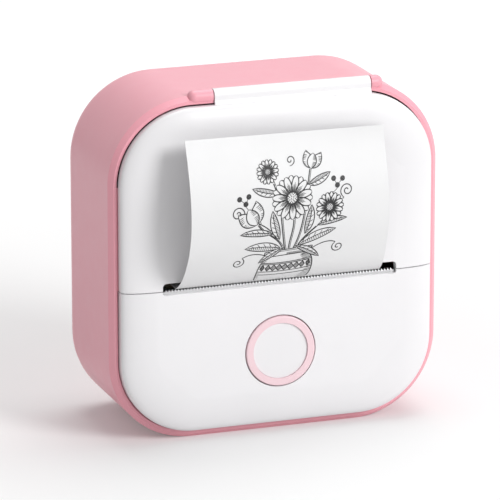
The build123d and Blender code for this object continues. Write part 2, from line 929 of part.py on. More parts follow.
def tongue_section(steps, x):
    """One long edge of the tongue at an X: a thin closed outline, half the paper each side of a curve."""
    mouth = Vector(*tongue_mouth)
    curve = Spline(mouth, *[mouth + Vector(*step) for step in steps])
    sides = {-1: [], 1: []}
    for k in range(edge_samples + 1):
        place = curve @ (k / edge_samples)
        along = curve % (k / edge_samples)
        square = Vector(-along.Y, along.X) * (paper_thickness / 2)
        for side in (-1, 1):
            sides[side].append(place + square * side)
    far_end = Line(sides[1][-1], sides[-1][-1])
    near_end = Line(sides[-1][0], sides[1][0])
    return Plane.YZ.offset(x) * make_face([Spline(*sides[1]), far_end, Spline(*sides[-1]), near_end])


def build_tongue():
    """The paper round the platen roller, out of the slot and up in front of the cover."""
    middle = (paper_inner + paper_outer) / 2
    reach = math.dist(tongue_mouth, platen_point)
    bearing = math.degrees(math.atan2(tongue_mouth[1] - platen_z, tongue_mouth[0] - platen_y))
    leave = bearing + math.degrees(math.acos(middle / reach))
    start = ramp_angle - 90
    wrap = disc(platen_point, paper_outer) - disc(platen_point, paper_inner)
    wedge_reach = 2 * paper_outer
    wedge_start = step_along(platen_point, start, wedge_reach)
    wedge_end = step_along(platen_point, leave, wedge_reach)
    wedge = shape(platen_point, wedge_start, wedge_end)
    leave_point = step_along(platen_point, leave, middle)
    tilt = math.degrees(math.atan2(tongue_mouth[1] - leave_point[1], tongue_mouth[0] - leave_point[0]))
    half = paper_thickness / 2
    run = shape(
        step_along(leave_point, tilt + 90, half),
        step_along(tongue_mouth, tilt + 90, half),
        step_along(tongue_mouth, tilt - 90, half),
        step_along(leave_point, tilt - 90, half),
    )
    lead = across((wrap & wedge) + run + disc(tongue_mouth, half), paper_left, paper_right)
    left = tongue_section(left_edge_steps, paper_left)
    right = tongue_section(right_edge_steps, paper_right)
    return lead + loft((left, right), ruled=True)


def build_board():
    low = Pos(0, board_top / 2) * Rectangle(far, board_top)
    board = outline(board_inset) & low
    for place in board_screw_places:
        board -= disc(place, screw_radius + screw_hole_gap)
    return deep(board, board_front, board_back)


def on_board(x, z, width, height, depth):
    """A block standing on the back of the board."""
    x_span = (x - width / 2, x + width / 2)
    z_span = (z - height / 2, z + height / 2)
    return block(x_span, (board_back, board_back + depth), z_span)


def build_chips():
    return Compound([on_board(*place) for place in chip_places])


def build_plugs():
    return Compound([on_board(*place) for place in (battery_plug, motor_plug, ribbon_plug)])


def build_usb_port():
    """The socket's shell, open to the side, with its contact tongue."""
    outer_x = body_width / 2 - usb_recess
    inner_x = outer_x - usb_depth
    shell = across(usb_section(0), inner_x, outer_x)
    shell -= across(usb_section(-usb_shell), inner_x + usb_back, outer_x)
    y = board_back + usb_gap + usb_thickness / 2
    half = usb_tongue / 2
    reach = usb_width / 2 - usb_tongue_inset
    z_span = (usb_height - reach, usb_height + reach)
    tongue = block((inner_x, outer_x - usb_tongue_recess), (y - half, y + half), z_span)
    foot = block((inner_x, body_width / 2 - ledge_reach - usb_foot_gap), (board_back, y), z_span)
    foot -= across(usb_section(-usb_shell), inner_x, outer_x)
    return shell + tongue + foot


def build_switch_body():
    bore = disc((0, button_z), switch_stem_radius + switch_stem_gap)
    square = Pos(0, button_z) * Rectangle(2 * switch_half, 2 * switch_half)
    switch = deep(square, switch_front, board_front)
    return switch - deep(bore, switch_front, switch_front + switch_bore)


def build_switch_stem():
    stem = disc((0, button_z), switch_stem_radius)
    return deep(stem, switch_tip, switch_front + switch_bore / 2)


def build_button_ring():
    """The button's cup: a ring that stands proud, a floor and a flange behind the panel."""
    place = (0, button_z)
    front = panel_front - ring_proud
    face_back = panel_front + face_drop + face_thickness
    floor_back = max(button_flange_front + flange_thickness, face_back + button_floor)
    ring = deep(disc(place, ring_radius), front, floor_back)
    front_edges = ring.faces().sort_by(Axis.Y)[0].edges()
    ring = fillet(front_edges, ring_proud)
    ring += deep(disc(place, ring_radius + flange_reach), button_flange_front, floor_back)
    ring -= deep(disc(place, face_radius), front, face_back)
    return ring + deep(disc(place, stem_radius), floor_back, switch_tip)


def build_button_face():
    front = panel_front + face_drop
    face = deep(disc((0, button_z), face_radius), front, front + face_thickness)
    return fillet(face.faces().sort_by(Axis.Y)[0].edges(), face_drop)


def build_battery():
    cell = block(battery_x, (battery_front, battery_front + battery_thickness), battery_z)
    return fillet(cell.edges().filter_by(Axis.Z), battery_corner)


def build_battery_pad():
    """The foam pad that sticks the battery to the back wall."""
    back = battery_front + battery_thickness
    edge = battery_corner
    x_span = (battery_x[0] + edge, battery_x[1] - edge)
    return block(x_span, (back, back_face - back_wall), (battery_z[0] + edge, battery_z[1] - edge))


def wire(points):
    """A round wire along straight runs joined by arcs as large as the runs allow."""
    places = [Vector(*point) for point in points]
    radii = []
    for before, here, after in zip(places, places[1:], places[2:]):
        half_turn = (here - before).get_angle(after - here) / 2
        shorter = min((here - before).length, (after - here).length)
        radii.append(wire_arc_share * shorter / math.tan(math.radians(half_turn)))
    path = FilletPolyline(*places, radius=radii)
    start = Plane(origin=path @ 0, z_dir=path % 0)
    return sweep(start * Circle(wire_radius), path=path)


def build_battery_leads():
    top = battery_z[1]
    middle = battery_front + battery_thickness / 2
    plug_face = board_back + battery_plug[4]
    wires = []
    for side in (-wire_half_spacing, wire_half_spacing):
        x = battery_plug[0] + side
        wires.append(wire([
            (x, middle, top),
            (x, middle, top + 5.5),
            (x, middle - 4.1, top + 8.5),
            (x, 5.0, top + 5.0),
            (x, 0.8, top - 3.0),
            (x, -1.6, battery_plug[1] + 4.2),
            (x, -4.8, battery_plug[1]),
            (x, plug_face, battery_plug[1]),
        ]))
    return Compound(wires)


def build_motor_leads():
    plug_face = board_back + motor_plug[4]
    wires = []
    for side in (-wire_half_spacing, wire_half_spacing):
        z = motor_plug[1] + side
        wires.append(wire([
            (motor_end, 2.5, z),
            (motor_end + 4.6, 2.5, z),
            (motor_plug[0], -1.5, z),
            (motor_plug[0], plug_face, z),
        ]))
    return Compound(wires)


def build_ribbon():
    """The flat cable from the head down to the board."""
    top = on_ramp(ribbon_start, heatsink_under + ribbon_gap)
    row = ribbon_plug[1]
    path = FilletPolyline(
        top,
        (top[0] + 0.6, row + 9.0),
        (-2.4, row + 3.5),
        (-5.2, row),
        (board_back + ribbon_plug[4], row),
        radius=ribbon_bend,
    )
    return across(trace(path, ribbon_thickness), -ribbon_half, ribbon_half)


def build_frame_screws():
    tip = back_face - back_wall - screw_end_gap
    return Compound([screw(place, ear_front, tip, 1) for place in frame_screw_places()])


def build_board_screws():
    tip = panel_inner + screw_end_gap
    return Compound([screw(place, board_back, tip, -1) for place in board_screw_places])


def build_liner_screws():
    tip = panel_front + panel_skin / 2
    return Compound([screw(place, liner_back, tip, -1) for place in liner_screw_places])


def side_screw(point, head_face, sign, length):
    """A screw along X whose head stands on head_face; sign is +1 where the tip points right."""
    head = across(disc(point, screw_head_radius), head_face, head_face - sign * screw_head)
    return head + across(disc(point, screw_radius), head_face, head_face + sign * length)


def build_plate_screws():
    head_face = -plate_inner - plate_thickness
    return Compound([
        side_screw((y, z), head_face, 1, plate_thickness + frame_wall) for z, y in plate_screw_places()
    ])


def build_motor_screws():
    head_face = -plate_inner + motor_flange
    length = motor_flange + plate_thickness
    return Compound([side_screw(point, head_face, -1, length) for point in motor_ear_places()])


nodes = {
    "housing": build_housing,
    "lower_panel": build_lower_panel,
    "inner_frame": build_inner_frame,
    "tear_bar": build_tear_bar,
    "hinge_pin": lambda: hinge_tube(hinge_pin_radius, *pin_span()),
    "gear_plate": build_gear_plate,
    "gear_axles": build_gear_axles,
    "motor": build_motor,
    "main_board": build_board,
    "board_chips": build_chips,
    "board_plugs": build_plugs,
    "usb_port": build_usb_port,
    "switch_body": build_switch_body,
    "battery": build_battery,
    "battery_pad": build_battery_pad,
    "battery_leads": build_battery_leads,
    "motor_leads": build_motor_leads,
    "head_ribbon": build_ribbon,
    "paper_sensor": lambda: sensor_block(0),
    "frame_screws": build_frame_screws,
    "board_screws": build_board_screws,
    "plate_screws": build_plate_screws,
    "motor_screws": build_motor_screws,
    "paper_web": build_paper_web,
    "head_springs": build_springs,
    "head_heatsink": build_heatsink,
    "head_ceramic": build_ceramic,
    "paper_cover": build_cover,
    "cover_liner": build_liner,
    "liner_screws": build_liner_screws,
    "platen_bushings": build_bushings,
    "paper_tongue": build_tongue,
    "platen_shaft": build_platen_shaft,
    "platen_rubber": build_platen_rubber,
    "platen_gear": build_platen_gear,
    "idler_gear": build_idler_gear,
    "reduction_gear": build_reduction_gear,
    "motor_shaft": build_motor_shaft,
    "motor_pinion": build_motor_pinion,
    "paper_roll": build_roll,
    "roll_core": build_core,
    "button_ring": build_button_ring,
    "button_face": build_button_face,
    "switch_stem": build_switch_stem,
}

os.makedirs("parts", exist_ok=True)
for name, build in nodes.items():
    export_step(build(), f"parts/{name}.step")
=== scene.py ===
import math
import bmesh
import bpy
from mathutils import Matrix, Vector
from mathutils.bvhtree import BVHTree


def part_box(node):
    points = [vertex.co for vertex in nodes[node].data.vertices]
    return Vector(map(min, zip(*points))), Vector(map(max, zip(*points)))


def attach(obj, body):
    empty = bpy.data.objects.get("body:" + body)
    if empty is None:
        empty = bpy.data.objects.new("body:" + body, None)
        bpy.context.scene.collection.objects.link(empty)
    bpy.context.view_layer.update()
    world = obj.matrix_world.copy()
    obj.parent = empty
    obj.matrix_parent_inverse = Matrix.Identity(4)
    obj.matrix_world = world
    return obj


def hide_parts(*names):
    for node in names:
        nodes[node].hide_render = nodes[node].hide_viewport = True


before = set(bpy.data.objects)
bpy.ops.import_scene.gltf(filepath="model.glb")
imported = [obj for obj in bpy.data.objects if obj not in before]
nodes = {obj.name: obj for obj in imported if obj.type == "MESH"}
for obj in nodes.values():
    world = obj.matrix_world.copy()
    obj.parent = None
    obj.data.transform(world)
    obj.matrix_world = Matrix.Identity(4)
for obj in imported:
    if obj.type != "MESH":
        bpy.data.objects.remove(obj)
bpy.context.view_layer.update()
scene = bpy.context.scene
mm = 0.001
scene.view_settings.view_transform = "Standard"

# Camera, fitted to the outline of the body in the photograph

cameraSettings = {
    "place": (-0.3658, -1.0211, 0.3495),
    "lookAlong": (0.32380, 0.90583, -0.27318),
    "lens": 327.45,
    "sensor": 36.0,
    "clipStart": 0.01,
}


def aim(thing, direction):
    thing.rotation_mode = "QUATERNION"
    thing.rotation_quaternion = Vector(direction).to_track_quat("-Z", "Y")


def makeCamera(s):
    data = bpy.data.cameras.new("camera")
    data.lens = s["lens"]
    data.sensor_width = s["sensor"]
    data.clip_start = s["clipStart"]
    camera = bpy.data.objects.new("camera", data)
    camera.location = s["place"]
    aim(camera, s["lookAlong"])
    scene.collection.objects.link(camera)
    scene.camera = camera


# Studio: a pale floor, an even sky and two large lamps, one high in front at the right and one above

studioSettings = {
    "floorHalf": 3.0,
    "floorColour": (0.80, 0.80, 0.80),
    "floorRough": 0.9,
    "nearGlowPaintedShade": 0.14,           # lifts the floor to white where it is looked at; it lifts less near the printer, which paints shade round it and darkens its shadow
    "farGlow": 0.32,
    "nearReach": 0.08,
    "farReach": 0.34,
    "skyStrength": 0.37,
    "keyPlace": (0.62, -0.95, 0.62),
    "keySize": 0.55,
    "keyPower": 9.6,
    "topPlace": (0.20, 0.25, 1.10),
    "topSize": 0.9,
    "topPower": 6.2,
    "aimAt": (0.0, 0.0, 0.045),
}


def seenDirectly(tree):
    # 1 for rays from the camera, and for those that a mirror or glass sends on
    path = tree.nodes.new("ShaderNodeLightPath")
    value = path.outputs["Is Camera Ray"]
    for ray in ("Is Glossy Ray", "Is Transmission Ray"):
        larger = tree.nodes.new("ShaderNodeMath")
        larger.operation = "MAXIMUM"
        tree.links.new(value, larger.inputs[0])
        tree.links.new(path.outputs[ray], larger.inputs[1])
        value = larger.outputs[0]
    return value


def makeSky(s):
    world = bpy.data.worlds.new("studioSky")
    world.use_nodes = True
    tree = world.node_tree
    sky = tree.nodes["Background"]
    level = tree.nodes.new("ShaderNodeMix")
    level.inputs["A"].default_value = s["skyStrength"]
    level.inputs["B"].default_value = 1.0
    tree.links.new(seenDirectly(tree), level.inputs["Factor"])
    tree.links.new(level.outputs["Result"], sky.inputs["Strength"])
    sky.inputs["Color"].default_value = (1, 1, 1, 1)
    scene.world = world


def makeFloor(s):
    half = s["floorHalf"]
    mesh = bpy.data.meshes.new("floor")
    corners = [(-half, -half, 0), (half, -half, 0), (half, half, 0), (-half, half, 0)]
    mesh.from_pydata(corners, [], [(0, 1, 2, 3)])
    floor = bpy.data.objects.new("floor", mesh)
    scene.collection.objects.link(floor)
    material = bpy.data.materials.new("studioFloor")
    material.use_nodes = True
    tree = material.node_tree
    paint = tree.nodes["Principled BSDF"]
    paint.inputs["Base Color"].default_value = (*s["floorColour"], 1)
    paint.inputs["Roughness"].default_value = s["floorRough"]
    paint.inputs["Specular IOR Level"].default_value = 0.0
    paint.inputs["Emission Color"].default_value = (1, 1, 1, 1)
    where = tree.nodes.new("ShaderNodeTexCoord")
    reach = tree.nodes.new("ShaderNodeVectorMath")
    reach.operation = "LENGTH"
    tree.links.new(where.outputs["Object"], reach.inputs[0])
    # the glow rises from near the printer to far away: the weaker glow near it is painted shade
    spread = tree.nodes.new("ShaderNodeMapRange")
    spread.inputs["From Min"].default_value = s["nearReach"]
    spread.inputs["From Max"].default_value = s["farReach"]
    spread.inputs["To Min"].default_value = s["nearGlowPaintedShade"]
    spread.inputs["To Max"].default_value = s["farGlow"]
    tree.links.new(reach.outputs["Value"], spread.inputs["Value"])
    glow = tree.nodes.new("ShaderNodeMath")
    glow.operation = "MULTIPLY"
    tree.links.new(spread.outputs["Result"], glow.inputs[1])
    tree.links.new(seenDirectly(tree), glow.inputs[0])
    tree.links.new(glow.outputs[0], paint.inputs["Emission Strength"])
    mesh.materials.append(material)


def makeLamp(name, place, size, power, target):
    data = bpy.data.lights.new(name, "AREA")
    data.shape = "DISK"
    data.size = size
    data.energy = power
    lamp = bpy.data.objects.new(name, data)
    lamp.location = place
    aim(lamp, Vector(target) - Vector(place))
    scene.collection.objects.link(lamp)


makeCamera(cameraSettings)
makeSky(studioSettings)
makeFloor(studioSettings)
for lampName in ("key", "top"):
    makeLamp(
        lampName + "Lamp",
        studioSettings[lampName + "Place"],
        studioSettings[lampName + "Size"],
        studioSettings[lampName + "Power"],
        studioSettings["aimAt"],
    )
print("printer: camera and studio")

# Materials

def newMaterial(name):
    material = bpy.data.materials.new(name)
    material.use_nodes = True
    tree = material.node_tree
    return material, tree, tree.nodes["Principled BSDF"]


def objectPlace(tree, stretch=(1, 1, 1), shift=(0, 0, 0)):
    where = tree.nodes.new("ShaderNodeTexCoord")
    mapping = tree.nodes.new("ShaderNodeMapping")
    mapping.inputs["Scale"].default_value = stretch
    mapping.inputs["Location"].default_value = shift
    tree.links.new(where.outputs["Object"], mapping.inputs["Vector"])
    return mapping.outputs["Vector"]


def cloudy(tree, place, scale, detail=3.0, roughness=0.5):
    texture = tree.nodes.new("ShaderNodeTexNoise")
    texture.inputs["Scale"].default_value = scale
    texture.inputs["Detail"].default_value = detail
    texture.inputs["Roughness"].default_value = roughness
    tree.links.new(place, texture.inputs["Vector"])
    return texture.outputs["Fac"]


def between(tree, value, low, high, start=0.3, end=0.7):
    fit = tree.nodes.new("ShaderNodeMapRange")
    fit.inputs["From Min"].default_value = start
    fit.inputs["From Max"].default_value = end
    fit.inputs["To Min"].default_value = low
    fit.inputs["To Max"].default_value = high
    tree.links.new(value, fit.inputs["Value"])
    return fit.outputs["Result"]


def blendColours(tree, factor, first, second):
    mix = tree.nodes.new("ShaderNodeMix")
    mix.data_type = "RGBA"
    for socket, colour in (("A", first), ("B", second)):
        target = [one for one in mix.inputs if one.name == socket and one.type == "RGBA"][0]
        if isinstance(colour, tuple):
            target.default_value = (*colour, 1)
        else:
            tree.links.new(colour, target)
    tree.links.new(factor, mix.inputs["Factor"])
    return [one for one in mix.outputs if one.type == "RGBA"][0]


def relief(tree, shader, height, depth):
    node = tree.nodes.new("ShaderNodeBump")
    node.inputs["Distance"].default_value = depth
    tree.links.new(height, node.inputs["Height"])
    tree.links.new(node.outputs["Normal"], shader.inputs["Normal"])


def toned(colour, share):
    return tuple(min(1.0, channel * share) for channel in colour)


def paintBetween(tree, shader, factor, first, second):
    tree.links.new(blendColours(tree, factor, first, second), shader.inputs["Base Color"])


def roughen(tree, shader, value, low, high):
    tree.links.new(between(tree, value, low, high), shader.inputs["Roughness"])


plasticSettings = {
    "driftScale": 40.0,
    "driftShare": 0.975,
    "glossScale": 260.0,
    "glossSpread": 0.03,
    "grainScale": 4500.0,
    "grain": 0.000008,
    "rubAndSheen": 0.35,                 # how far a sharp edge goes to its paler tone, partly rub and partly painted highlight
    "rubAndSheenShare": 1.12,
    "rubAndSheenStart": 0.53,
    "rubAndSheenEnd": 0.62,
    "coat": 0.0,
    "coatRough": 0.2,
    "bend": 1.5,
}


def mouldedPlastic(name, look):
    # satin moulding: a slow drift of tone, patchy gloss, a fine eroded grain and paler sharp edges, partly
    # rubbed and partly a painted highlight
    s = {**plasticSettings, **look}
    material, tree, shader = newMaterial(name)
    place = objectPlace(tree)
    drift = between(tree, cloudy(tree, place, s["driftScale"]), 0.0, 1.0)
    body = blendColours(tree, drift, toned(s["colour"], s["driftShare"]), s["colour"])
    geometry = tree.nodes.new("ShaderNodeNewGeometry")
    # sharp convex edges painted paler: partly wear, partly painted highlight
    edge = between(tree, geometry.outputs["Pointiness"], 0.0, s["rubAndSheen"], s["rubAndSheenStart"], s["rubAndSheenEnd"])
    paintBetween(tree, shader, edge, body, toned(s["colour"], s["rubAndSheenShare"]))
    patches = cloudy(tree, place, s["glossScale"], 2.0)
    roughen(tree, shader, patches, s["rough"] - s["glossSpread"], s["rough"] + s["glossSpread"])
    relief(tree, shader, cloudy(tree, place, s["grainScale"], 2.0), s["grain"])
    shader.inputs["IOR"].default_value = s["bend"]
    shader.inputs["Coat Weight"].default_value = s["coat"]
    shader.inputs["Coat Roughness"].default_value = s["coatRough"]
    return material


metalSettings = {"metal": 1.0, "along": 10, "across": 1500, "dullShare": 0.85, "depth": 0.000006}


def drawnMetal(name, look):
    # rolled or turned metal, with streaks along one axis
    s = {**metalSettings, **look}
    material, tree, shader = newMaterial(name)
    stretch = [s["along"] if axis == s["streaks"] else s["across"] for axis in "xyz"]
    streaks = cloudy(tree, objectPlace(tree, stretch), 1.0, 4.0, 0.6)
    dull = toned(s["colour"], s["dullShare"])
    paintBetween(tree, shader, between(tree, streaks, 0, 1), dull, s["colour"])
    roughen(tree, shader, streaks, s["rough"] - 0.07, s["rough"] + 0.09)
    relief(tree, shader, streaks, s["depth"])
    shader.inputs["Metallic"].default_value = s["metal"]
    return material


rubberSettings = {"stretch": (2600, 70, 70), "darkShare": 0.7, "paleShare": 1.4, "depth": 0.00001}


def groundRubber(name, look):
    # the roller is ground round, so its marks run round it
    s = {**rubberSettings, **look}
    material, tree, shader = newMaterial(name)
    marks = cloudy(tree, objectPlace(tree, s["stretch"]), 1.0)
    dark = toned(s["colour"], s["darkShare"])
    pale = toned(s["colour"], s["paleShare"])
    paintBetween(tree, shader, between(tree, marks, 0, 1), dark, pale)
    roughen(tree, shader, marks, s["rough"] - 0.08, s["rough"] + 0.08)
    relief(tree, shader, marks, s["depth"])
    return material


paperSettings = {"fibres": (900, 900, 300), "cloudScale": 90.0, "cloudShare": 0.985, "depth": 0.000005}


def thermalPaper(name, look):
    # coated side: nearly white, faint cloud in the sheet and short fibres under the coat
    s = {**paperSettings, **look}
    material, tree, shader = newMaterial(name)
    fibres = cloudy(tree, objectPlace(tree, s["fibres"]), 1.0, 5.0, 0.65)
    cloud = between(tree, cloudy(tree, objectPlace(tree), s["cloudScale"], 2.0), 0, 1)
    paintBetween(tree, shader, cloud, toned(s["colour"], s["cloudShare"]), s["colour"])
    roughen(tree, shader, fibres, s["rough"] - 0.05, s["rough"] + 0.05)
    relief(tree, shader, fibres, s["depth"])
    return material


rollSettings = {"turns": 900.0, "wobble": 0.6, "gapShare": 0.88, "depth": 0.00002}


def woundPaper(name, look):
    # the turns of the roll show as fine rings on its ends
    s = {**rollSettings, **look}
    material, tree, shader = newMaterial(name)
    low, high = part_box("paper_roll")
    middle = (low + high) / 2
    rings = tree.nodes.new("ShaderNodeTexWave")
    rings.wave_type = "RINGS"
    rings.rings_direction = "SPHERICAL"
    rings.inputs["Scale"].default_value = s["turns"]
    rings.inputs["Distortion"].default_value = s["wobble"]
    place = objectPlace(tree, (0, 1, 1), (0, -middle.y, -middle.z))
    tree.links.new(place, rings.inputs["Vector"])
    turns = rings.outputs["Fac"]
    paintBetween(tree, shader, turns, toned(s["colour"], s["gapShare"]), s["colour"])
    relief(tree, shader, turns, s["depth"])
    shader.inputs["Roughness"].default_value = s["rough"]
    return material


maskSettings = {
    "bands": 210.0,
    "wobble": 4.0,
    "start": 0.55,
    "end": 0.62,
    "copperShare": 1.7,
    "depth": 0.00002,
}


def lacqueredBoard(name, look):
    # solder mask, a little paler where copper lies under it
    s = {**maskSettings, **look}
    material, tree, shader = newMaterial(name)
    bands = tree.nodes.new("ShaderNodeTexWave")
    bands.inputs["Scale"].default_value = s["bands"]
    bands.inputs["Distortion"].default_value = s["wobble"]
    bands.inputs["Detail"].default_value = 0.0
    tree.links.new(objectPlace(tree), bands.inputs["Vector"])
    copper = between(tree, bands.outputs["Fac"], 0, 1, s["start"], s["end"])
    paintBetween(tree, shader, copper, s["colour"], toned(s["colour"], s["copperShare"]))
    relief(tree, shader, copper, s["depth"])
    shader.inputs["Roughness"].default_value = s["rough"]
    return material


foilSettings = {"crinkles": 170.0, "dullShare": 0.8, "depth": 0.00008, "metal": 0.9}


def crinkledFoil(name, look):
    s = {**foilSettings, **look}
    material, tree, shader = newMaterial(name)
    crinkle = cloudy(tree, objectPlace(tree), s["crinkles"], 5.0)
    dull = toned(s["colour"], s["dullShare"])
    paintBetween(tree, shader, between(tree, crinkle, 0, 1), dull, s["colour"])
    roughen(tree, shader, crinkle, s["rough"] - 0.06, s["rough"] + 0.06)
    relief(tree, shader, crinkle, s["depth"])
    shader.inputs["Metallic"].default_value = s["metal"]
    return material


ribbonSettings = {"tracks": 160.0, "trackShare": 1.6, "depth": 0.00002}


def amberRibbon(name, look):
    # copper tracks under amber film, along the ribbon
    s = {**ribbonSettings, **look}
    material, tree, shader = newMaterial(name)
    tracks = tree.nodes.new("ShaderNodeTexWave")
    tracks.bands_direction = "X"
    tracks.inputs["Scale"].default_value = s["tracks"]
    tree.links.new(objectPlace(tree), tracks.inputs["Vector"])
    fill = tracks.outputs["Fac"]
    paintBetween(tree, shader, fill, s["colour"], toned(s["colour"], s["trackShare"]))
    relief(tree, shader, fill, s["depth"])
    shader.inputs["Roughness"].default_value = s["rough"]
    return material


# what each finish is made with, its look, and the pieces that wear it
finishes = {
    "pinkShell": (mouldedPlastic, {"colour": (0.88, 0.385, 0.455), "rough": 0.36}, ["housing"]),
    "whiteShell": (
        mouldedPlastic,
        {"colour": (0.87, 0.86, 0.875), "rough": 0.34, "rubAndSheen": 0.2},
        ["paper_cover", "lower_panel", "button_face"],
    ),
    "pinkInner": (
        mouldedPlastic,
        {"colour": (0.74, 0.34, 0.40), "rough": 0.5, "grain": 0.000012},
        ["inner_frame", "cover_liner"],
    ),
    "pinkButton": (mouldedPlastic, {"colour": (0.92, 0.68, 0.725), "rough": 0.36}, ["button_ring"]),
    "barSteel": (
        drawnMetal,
        {"colour": (0.86, 0.86, 0.87), "rough": 0.42, "metal": 0.6, "streaks": "x"},
        ["tear_bar"],
    ),
    "pinSteel": (
        drawnMetal,
        {"colour": (0.70, 0.70, 0.72), "rough": 0.22, "streaks": "x"},
        ["hinge_pin", "platen_shaft", "motor_shaft", "gear_axles"],
    ),
    "plateSteel": (
        drawnMetal,
        {"colour": (0.60, 0.61, 0.62), "rough": 0.38, "streaks": "z"},
        ["gear_plate", "motor", "usb_port"],
    ),
    "screwSteel": (
        drawnMetal,
        {"colour": (0.64, 0.64, 0.66), "rough": 0.28, "streaks": "y"},
        ["frame_screws", "board_screws", "liner_screws", "plate_screws", "motor_screws", "head_springs"],
    ),
    "sinkAluminium": (
        drawnMetal,
        {"colour": (0.80, 0.81, 0.82), "rough": 0.4, "streaks": "x"},
        ["head_heatsink"],
    ),
    "headCeramic": (
        mouldedPlastic,
        {"colour": (0.58, 0.50, 0.38), "rough": 0.18, "grain": 0.000002, "coat": 0.5},
        ["head_ceramic"],
    ),
    "platenRubber": (groundRubber, {"colour": (0.018, 0.018, 0.02), "rough": 0.75}, ["platen_rubber"]),
    "foamTape": (groundRubber, {"colour": (0.03, 0.03, 0.03), "rough": 0.9}, ["battery_pad"]),
    "gearAcetal": (
        mouldedPlastic,
        {"colour": (0.80, 0.79, 0.74), "rough": 0.34},
        ["platen_gear", "idler_gear", "reduction_gear", "motor_pinion"],
    ),
    "blackAcetal": (mouldedPlastic, {"colour": (0.03, 0.03, 0.033), "rough": 0.4}, ["platen_bushings"]),
    "chipEpoxy": (
        mouldedPlastic,
        {"colour": (0.02, 0.02, 0.022), "rough": 0.48, "grain": 0.000015},
        ["board_chips", "paper_sensor", "switch_body"],
    ),
    "plugNylon": (
        mouldedPlastic,
        {"colour": (0.76, 0.72, 0.60), "rough": 0.42},
        ["board_plugs", "switch_stem"],
    ),
    "redInsulation": (mouldedPlastic, {"colour": (0.48, 0.03, 0.025), "rough": 0.4}, ["battery_leads"]),
    "blackInsulation": (mouldedPlastic, {"colour": (0.02, 0.02, 0.022), "rough": 0.42}, ["motor_leads"]),
    "coreStyrene": (mouldedPlastic, {"colour": (0.76, 0.76, 0.76), "rough": 0.4}, ["roll_core"]),
    "boardMask": (lacqueredBoard, {"colour": (0.012, 0.11, 0.05), "rough": 0.22}, ["main_board"]),
    "cellFoil": (crinkledFoil, {"colour": (0.70, 0.71, 0.73), "rough": 0.36}, ["battery"]),
    "ribbonFilm": (amberRibbon, {"colour": (0.50, 0.21, 0.04), "rough": 0.25}, ["head_ribbon"]),
    "paperSheet": (
        thermalPaper,
        {"colour": (0.79, 0.79, 0.795), "rough": 0.5},
        ["paper_tongue", "paper_web"],
    ),
    "paperRoll": (woundPaper, {"colour": (0.86, 0.86, 0.86), "rough": 0.6}, ["paper_roll"]),
}


def dress(name, material):
    slots = nodes[name].material_slots
    if not slots:
        nodes[name].data.materials.append(material)
    for slot in slots:
        slot.material = material


for finishName, (makeFinish, look, wearers) in finishes.items():
    finish = makeFinish(finishName, look)
    for wearer in wearers:
        dress(wearer, finish)
undressed = set(nodes) - {wearer for _, _, wearers in finishes.values() for wearer in wearers}
print("printer: materials, left without one:", sorted(undressed))

# The tear bar: the strip of the solid with finer teeth, ground back to an edge on their front

barSettings = {
    "name": "tear_bar_ground",
    "rise": 0.3,
    "toothHeight": 0.45,
    "toothPitch": 0.8,
    "toothShare": 0.66,      # of the pitch, at the root
    "grind": 0.28,           # how far the tips lean back
    "steel": {"colour": (0.62, 0.62, 0.63), "rough": 0.42, "metal": 0.55, "streaks": "x"},
}


def makeTearBar(s):
    low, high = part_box("tear_bar")
    root = high.z + (s["rise"] - s["toothHeight"]) * mm
    tip = high.z + s["rise"] * mm
    pitch = s["toothPitch"] * mm
    count = int((high.x - low.x) / pitch)
    first = (low.x + high.x - (count - 1) * pitch) / 2
    shape = bmesh.new()
    rows = {}
    for side, y in (("front", low.y), ("back", high.y)):
        foot = [shape.verts.new((x, y, low.z)) for x in (low.x, high.x)]
        top = [shape.verts.new((low.x, y, root))]
        tips = []
        for k in range(count):
            middle = first + k * pitch
            half = pitch * s["toothShare"] / 2
            top += [shape.verts.new((middle - half, y, root)), shape.verts.new((middle + half, y, root))]
            lean = s["grind"] * mm if side == "front" else 0.0
            tips.append(shape.verts.new((middle, y + lean, tip)))
        top.append(shape.verts.new((high.x, y, root)))
        shape.faces.new([foot[0], foot[1]] + top[::-1])
        for k in range(count):
            shape.faces.new((top[2 * k + 1], top[2 * k + 2], tips[k]))
        rows[side] = (foot, top, tips)
    (footA, topA, tipsA), (footB, topB, tipsB) = rows["front"], rows["back"]
    shape.faces.new((footA[0], footA[1], footB[1], footB[0]))
    shape.faces.new((footA[0], footB[0], topB[0], topA[0]))
    shape.faces.new((footA[1], topA[-1], topB[-1], footB[1]))
    for k in range(count + 1):
        a, b = 2 * k, 2 * k + 1
        shape.faces.new((topA[a], topB[a], topB[b], topA[b]))
    for k in range(count):
        a, b = 2 * k + 1, 2 * k + 2
        shape.faces.new((topA[a], topB[a], tipsB[k], tipsA[k]))
        shape.faces.new((tipsA[k], tipsB[k], topB[b], topA[b]))
    bmesh.ops.recalc_face_normals(shape, faces=shape.faces)
    mesh = bpy.data.meshes.new(s["name"])
    shape.to_mesh(mesh)
    shape.free()
    bar = bpy.data.objects.new(s["name"], mesh)
    scene.collection.objects.link(bar)
    mesh.materials.append(drawnMetal("groundSteel", s["steel"]))
    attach(bar, "base")
    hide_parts("tear_bar")
    print("printer: tear bar with", count, "teeth")


makeTearBar(barSettings)

# The picture on the paper: a pot of flowers in pen strokes, printed upwards out of the slot.
# A drawing is in millimetres, across the paper from its middle and along it from the slot.

inkSettings = {
    "name": "printed_picture",
    "colour": (0.010, 0.010, 0.011),
    "rough": 0.45,
    "lift": 0.03,            # off the paper
    "step": 0.45,            # longest piece of a stroke
    "line": 0.30,
    "fineLine": 0.17,
    "middle": -0.25,         # across the body
    "scale": 0.89,
    "edgeInset": 0.4,
    "start": 39.6,           # height where the paper is first seen
    "end": 76.0,
    "heightStep": 0.25,
    "probe": 60.0,           # how far in front of the printer a place is looked for from
    "speckle": 3000.0,
    "fadeShare": 2.2,
}


